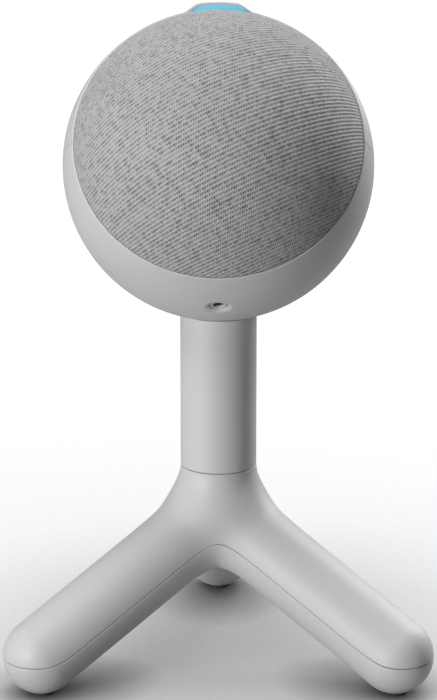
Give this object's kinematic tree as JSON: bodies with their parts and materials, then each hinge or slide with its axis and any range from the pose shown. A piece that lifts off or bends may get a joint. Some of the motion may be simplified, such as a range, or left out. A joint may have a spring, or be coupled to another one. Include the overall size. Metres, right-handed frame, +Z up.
{
  "type": "smart speaker",
  "caption": "Ball-shaped table-top speaker with a knitted front and a crown light, tilting in a magnetic cup on a column that turns on a three-legged stand.",
  "frame": {"origin": "on the table, at the centre of the whole footprint box", "axes": "+Z up; the fabric front faces -Y, the rear leg points to +Y, +X is to the right seen from the front"},
  "size_m": [0.1398, 0.1285, 0.2189],
  "materials": {
    "shell": "fine satin, light grey",
    "knit": "light-grey knit",
    "black_plastic": "matte black",
    "grey_plastic": "matte grey",
    "white_plastic": "white",
    "light": "lit cyan diffuser",
    "led": "gloss",
    "board": "green solder mask",
    "steel": "zinc plated",
    "iron": "cast",
    "magnet": "nickel plated",
    "ferrite": "matte",
    "rubber": "matte",
    "copper": "satin",
    "paper": "matte",
    "cloth": "resin-stiffened cloth",
    "aluminium": "satin",
    "gold": "satin"
  },
  "bodies": {
    "stand": {"tripod_shell": "shell", "tripod_cover": "shell", "foot_pad_rear": "rubber", "foot_pad_left": "rubber", "foot_pad_right": "rubber", "leg_weight_rear": "iron", "leg_weight_left": "iron", "leg_weight_right": "iron", "base_screws": "steel", "swivel_spindle": "steel", "spindle_nut": "steel", "spring_washer": "steel", "friction_washer": "white_plastic"},
    "column": {"column_tube": "shell", "swivel_bush": "white_plastic", "magnet_holder": "grey_plastic", "seat_magnet": "magnet", "seat_ring": "rubber"},
    "head": {"fabric_cover": "knit", "grille_dome": "grey_plastic", "baffle": "black_plastic", "upper_shell": "shell", "lower_shell": "shell", "keeper_plate": "steel", "light_lens": "light", "light_board": "board", "light_leds": "led", "microphones": "gold", "button_board": "board", "button_switches": "black_plastic", "driver_basket": "black_plastic", "driver_gasket": "rubber", "driver_surround": "rubber", "driver_spider": "cloth", "driver_top_plate": "steel", "driver_magnet": "ferrite", "driver_yoke": "steel", "back_chamber": "black_plastic", "main_board": "board", "board_parts": "black_plastic", "shield_can": "steel", "heat_spreader": "aluminium", "antenna": "copper", "aux_socket": "grey_plastic", "usb_inlet": "steel", "usb_board": "board", "baffle_screws": "steel", "driver_screws": "steel", "board_screws": "steel"},
    "cone": {"driver_cone": "paper", "dust_cap": "paper", "voice_coil": "copper"},
    "action_button": {"action_button": "shell"},
    "volume_down_button": {"volume_down_button": "shell"},
    "volume_up_button": {"volume_up_button": "shell"}
  },
  "joints": [
    {"name": "column_swivel", "type": "hinge", "parent": "stand", "child": "column", "pos_m": [0, -0.0144, 0.06778], "axis": [0, 0, 1], "continuous": true},
    {"name": "head_tilt", "type": "hinge", "parent": "column", "child": "head", "pos_m": [0, -0.0144, 0.16781], "axis": [-1, 0, 0], "range_deg": [-15, 20]},
    {"name": "cone_travel", "type": "slide", "parent": "head", "child": "cone", "axis": [0, -0.831, 0.5563], "range_m": [-0.0015, 0.0015], "stiffness_N_per_m": 900},
    {"name": "action_button_press", "type": "slide", "parent": "head", "child": "action_button", "axis": [0, -0.7859, -0.6184], "range_m": [0, 0.0005], "stiffness_N_per_m": 700, "springref_m": -0.001},
    {"name": "volume_down_button_press", "type": "slide", "parent": "head", "child": "volume_down_button", "axis": [0, -0.7859, -0.6184], "range_m": [0, 0.0005], "stiffness_N_per_m": 700, "springref_m": -0.001},
    {"name": "volume_up_button_press", "type": "slide", "parent": "head", "child": "volume_up_button", "axis": [0, -0.7859, -0.6184], "range_m": [0, 0.0005], "stiffness_N_per_m": 700, "springref_m": -0.001}
  ]
}
